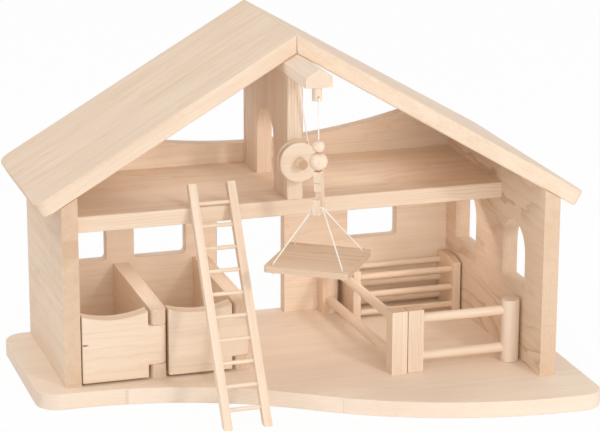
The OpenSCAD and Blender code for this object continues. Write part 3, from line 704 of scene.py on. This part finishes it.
# Darker spots, by node: middle, squeeze, inner and outer reach, strength and colour
DOOR_NICK = (-267.5 * MM, -14.5 * MM, 71.8 * MM)
LEFT_WALL_KNOT = (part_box("left_wall")[0].x + 12 * MM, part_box("left_wall")[0].y, 193 * MM)
FLECKS = {
    "stall_door_left": (DOOR_NICK, (1.0, 0.4, 5.0), 3.5 * MM, 7.5 * MM, 0.85, DARK_NICK),
    "left_wall": (LEFT_WALL_KNOT, (0.35, 0.5, 1.0), 9 * MM, 14 * MM, 0.55, BROWN_PATCH),
}
RIDGE_JOINT = (X, 0.0)  # normal and distance of the plane where the roofs meet
GLUE_PLANES = {"roof_left": RIDGE_JOINT, "roof_right": RIDGE_JOINT}

# node: grain, broad face, ease in mm, stave width in mm, strength of the figure, warmth
BOARDS = {
    "base_board": (X, Z, 3.0, 105, 0.9, -0.5),
    "left_wall": (Y, X, 2.2, 98, 0.8, 0.35),
    "right_wall": (Y, X, 2.2, 98, 1.9, 0.35),
    "back_wall": (X, Y, 1.6, 95, 0.7, -0.15),
    "loft_floor": (X, Z, 1.6, 100, 0.9, 0.1),
    "centre_partition": (Z, X, 1.6, 120, 2.2, 0.15),
    "ridge_beam": (Y, Z, 1.4, 60, 0.6, -0.35),
    "roof_left": (slope_left, roof_face_left, 2.4, 92, 0.6, 0.15),
    "roof_right": (slope_right, roof_face_right, 2.4, 600, 0.5, 0.15),
    "hoist_peg": (Z, X, 0.8, 60, 0.5, 0.0),
    "hook": (Z, hook_front, 0.8, 60, 0.6, 0.05),
    "tray": (tray_way, Z, 1.0, 120, 1.4, 0.85),
    "stall_divider_left": (Y, X, 1.6, 90, 0.8, 0.0),
    "stall_divider_right": (Y, X, 1.6, 90, 0.8, 0.0),
    "stall_door_left": (X, Y, 1.6, 140, 0.45, 0.2),
    "stall_door_right": (X, Y, 1.6, 140, 0.5, 0.0),
    "fence_rear_post": (Z, X, 1.2, 60, 0.7, 0.03),
    "fence_front_post": (Z, Y, 1.2, 60, 0.7, 0.0),
    "fence_rails": (fence_way, Z, 0.5, 60, 0.5, 0.0),
    "gate_hinge_post": (Z, Y, 1.0, 60, 0.6, -0.45),
    "gate_latch_post": (Z, Y, 1.2, 60, 0.7, 0.0),
    "gate_rails": (X, Z, 0.5, 60, 0.5, 0.0),
    "rack_left_side": (Z, X, 1.3, 80, 0.8, 0.0),
    "rack_right_side": (Z, X, 1.3, 80, 0.8, 0.05),
    "rack_bars": (X, Z, 0.4, 60, 0.4, 0.0),
    "ladder_left_rail": (ladder_way, Y, 0.9, 60, 0.5, 0.0),
    "ladder_right_rail": (ladder_way, Y, 0.9, 60, 0.5, 0.0),
    "ladder_rungs": (X, Z, 0.3, 60, 0.4, 0.0),
}


def make_boards():
    """Every planed piece and plain rod, each with its own run of maple."""
    for seed, (node, (grain, face, ease, stave, figure, warmth)) in enumerate(BOARDS.items(), 1):
        wood = maple(f"maple_{node}", grain, face, seed, stave * MM, figure, warmth,
                     FLECKS.get(node), GLUE_PLANES.get(node))
        eased(node, ease * MM, wood)


BEAD_BORE = 1.5 * MM
AXLE_R = 4 * MM
NEAR_AXIS = 0.01 * MM  # a solid's middle is closed this near its axis
winch_centre = (0, 0, WINCH_Z)


def make_beads():
    """The two beads on the lift string."""
    for seed, node in enumerate(("small_bead", "large_bead"), 41):
        low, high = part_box(node)
        profile = bead_profile((high.x - low.x) / 2, BEAD_BORE)
        bead = turned(node + "_turned", profile, (low + high) / 2, Z)
        stand_for(bead, node, maple(f"maple_{node}", Z, Y, seed, stave=60 * MM, figure=0.7))


def make_winch_wheel():
    """The wheel in front of the spool: a flat disc on the axle."""
    low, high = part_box("winch_wheel")
    profile = disc_profile(AXLE_R, (high.x - low.x) / 2, low.y, high.y, 1.2 * MM)
    wheel = turned("winch_wheel_turned", profile, winch_centre, Y)
    stand_for(wheel, "winch_wheel", maple("maple_winch_wheel", X, Y, 43, stave=80 * MM, figure=0.9))


def make_winch_knob():
    """The knob and its axle in one, darker at its front end."""
    low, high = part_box("winch_knob")
    radius, back = (high.x - low.x) / 2, WINCH_Y
    ease, axle_ease = 1.4 * MM, 0.5 * MM
    profile = np.vstack([[(NEAR_AXIS, low.y)], arc((radius - ease, low.y + ease), ease, -90, 0),
                         [(radius, back), (AXLE_R, back), (AXLE_R, high.y - axle_ease),
                          (AXLE_R - axle_ease, high.y), (NEAR_AXIS, high.y)]])
    knob = turned("winch_knob_turned", profile, winch_centre, Y)
    # A round brown spot about the axis darkens the knob's front end face.
    darker_front_end = ((0, low.y, WINCH_Z), (1, 1, 1), 4 * MM, 9 * MM, 0.75, KNOB_END_BROWN)
    wood = maple("maple_winch_knob", Y, X, 44, stave=60 * MM, figure=0.6, warmth=0.5, fleck=darker_front_end)
    stand_for(knob, "winch_knob", wood)


def make_winch_spool():
    """The spool behind the wheel: a drum for the string, and one flange."""
    low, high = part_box("winch_spool")
    drum_r, flange_r, ease = 16 * MM, (high.x - low.x) / 2, 0.8 * MM
    flange_front = high.y - 4 * MM
    profile = np.vstack([[(AXLE_R, low.y), (drum_r, low.y), (drum_r, flange_front)],
                         arc((flange_r - ease, flange_front + ease), ease, -90, 0),
                         arc((flange_r - ease, high.y - ease), ease, 0, 90), [(AXLE_R, high.y)]])
    spool = turned("winch_spool_turned", profile, winch_centre, Y)
    wood = maple("maple_winch_spool", X, Y, 45, stave=80 * MM, figure=0.7, warmth=0.05)
    stand_for(spool, "winch_spool", wood)


def finish_hidden_pieces():
    """Dowels and pins keep their CAD surface and get wood as well."""
    pins = maple("maple_pins", Z, X, 50, stave=60 * MM, figure=0.4, warmth=0.2)
    for node, piece in frame["nodes"].items():
        if not piece.hide_render:
            piece.data.materials.clear()
            piece.data.materials.append(pins)


make_boards()
make_beads()
make_winch_wheel()
make_winch_knob()
make_winch_spool()
finish_hidden_pieces()


# ---------------------------------------------------------------- studio

def softbox(name, place, target, width, height, watts, colour):
    """A rectangular area lamp that faces a target."""
    data = bpy.data.lights.new(name, "AREA")
    data.shape = "RECTANGLE"
    data.size, data.size_y = width, height
    data.energy = watts
    data.color = colour
    lamp = bpy.data.objects.new(name, data)
    lamp.visible_camera = False
    lamp.location = place
    lamp.rotation_euler = (Vector(target) - Vector(place)).to_track_quat("-Z", "Y").to_euler()
    scene.collection.objects.link(lamp)


def seen_directly(m):
    """1 for rays that show the background itself, to the camera or in gloss or glass, and 0 for the rays
    that only bring its light."""
    ray = m.node("ShaderNodeLightPath").outputs
    mirrored = m.math("MAXIMUM", ray["Is Glossy Ray"], ray["Is Transmission Ray"])
    return m.math("MAXIMUM", ray["Is Camera Ray"], mirrored)


TABLE_REACH = 6.0
TABLE_WHITE = (0.95, 0.95, 0.95, 1)
TABLE_GLOW = 0.95  # the share of the table's look that is its own white, while the rest shows shade
STUDIO_WHITE = (1.0, 0.995, 0.985, 1)
STUDIO_LIGHT = 0.69
PURE_WHITE = (1, 1, 1, 1)


def make_floor():
    """A white table: its own light makes it white to the camera, and a share of its shade stays."""
    data = bpy.data.meshes.new("table_top")
    corners = [(x * TABLE_REACH, y * TABLE_REACH, 0) for x, y in ((-1, -1), (1, -1), (1, 1), (-1, 1))]
    data.from_pydata(corners, [], [(0, 1, 2, 3)])
    floor = bpy.data.objects.new("table_top", data)
    scene.collection.objects.link(floor)
    material, tree, shader = new_material("white_table")
    m = Maker(tree)
    shader.inputs["Base Color"].default_value = TABLE_WHITE
    shader.inputs["Roughness"].default_value = 0.9
    shader.inputs["Specular IOR Level"].default_value = 0.1
    glow = m.node("ShaderNodeEmission")
    glow.inputs["Color"].default_value = PURE_WHITE
    both = m.node("ShaderNodeMixShader")
    m.feed(both.inputs[0], m.math("MULTIPLY", seen_directly(m), TABLE_GLOW))
    tree.links.new(shader.outputs[0], both.inputs[1])
    tree.links.new(glow.outputs[0], both.inputs[2])
    tree.links.new(both.outputs[0], tree.nodes["Material Output"].inputs["Surface"])
    data.materials.append(material)


def make_world():
    """Even studio light, shown as pure white to the camera, in gloss and through glass."""
    world = bpy.data.worlds.new("studio")
    scene.world = world
    world.use_nodes = True
    m = Maker(world.node_tree)
    light = world.node_tree.nodes["Background"]
    light.inputs["Color"].default_value = STUDIO_WHITE
    light.inputs["Strength"].default_value = STUDIO_LIGHT
    white = m.node("ShaderNodeBackground")
    white.inputs["Color"].default_value = PURE_WHITE
    white.inputs["Strength"].default_value = 1.0
    both = m.node("ShaderNodeMixShader")
    m.feed(both.inputs[0], seen_directly(m))
    world.node_tree.links.new(light.outputs[0], both.inputs[1])
    world.node_tree.links.new(white.outputs[0], both.inputs[2])
    world.node_tree.links.new(both.outputs[0], world.node_tree.nodes["World Output"].inputs["Surface"])


BARN_MIDDLE = (0, 0, 0.18)
NEUTRAL = (1.0, 1.0, 1.0)

# name: place, what it faces, width, height, watts, colour. The last three fill the dark rooms.
LAMPS = {
    "key": ((0.9, -2.3, 1.5), BARN_MIDDLE, 0.28, 0.28, 15.5, (1.0, 0.99, 0.98)),
    "front": ((0.15, -2.6, 0.6), BARN_MIDDLE, 2.2, 1.2, 13.8, NEUTRAL),
    "left roof": ((-1.3, 0.35, 1.9), BARN_MIDDLE, 0.8, 0.5, 7.5, (1.0, 0.94, 0.90)),
    "under the loft": ((0, 0.05, 0.176), (0, 0.14, 0.03), 0.52, 0.10, 0.15, NEUTRAL),
    "left loft": ((-0.105, 0.08, 0.30), (-0.105, 0.13, 0.20), 0.14, 0.10, 0.026, NEUTRAL),
    "right loft": ((0.105, 0.08, 0.30), (0.105, 0.13, 0.20), 0.14, 0.10, 0.040, NEUTRAL),
}

make_floor()
make_world()
for lamp_name, settings in LAMPS.items():
    softbox(lamp_name, *settings)

scene.view_settings.view_transform = "Standard"
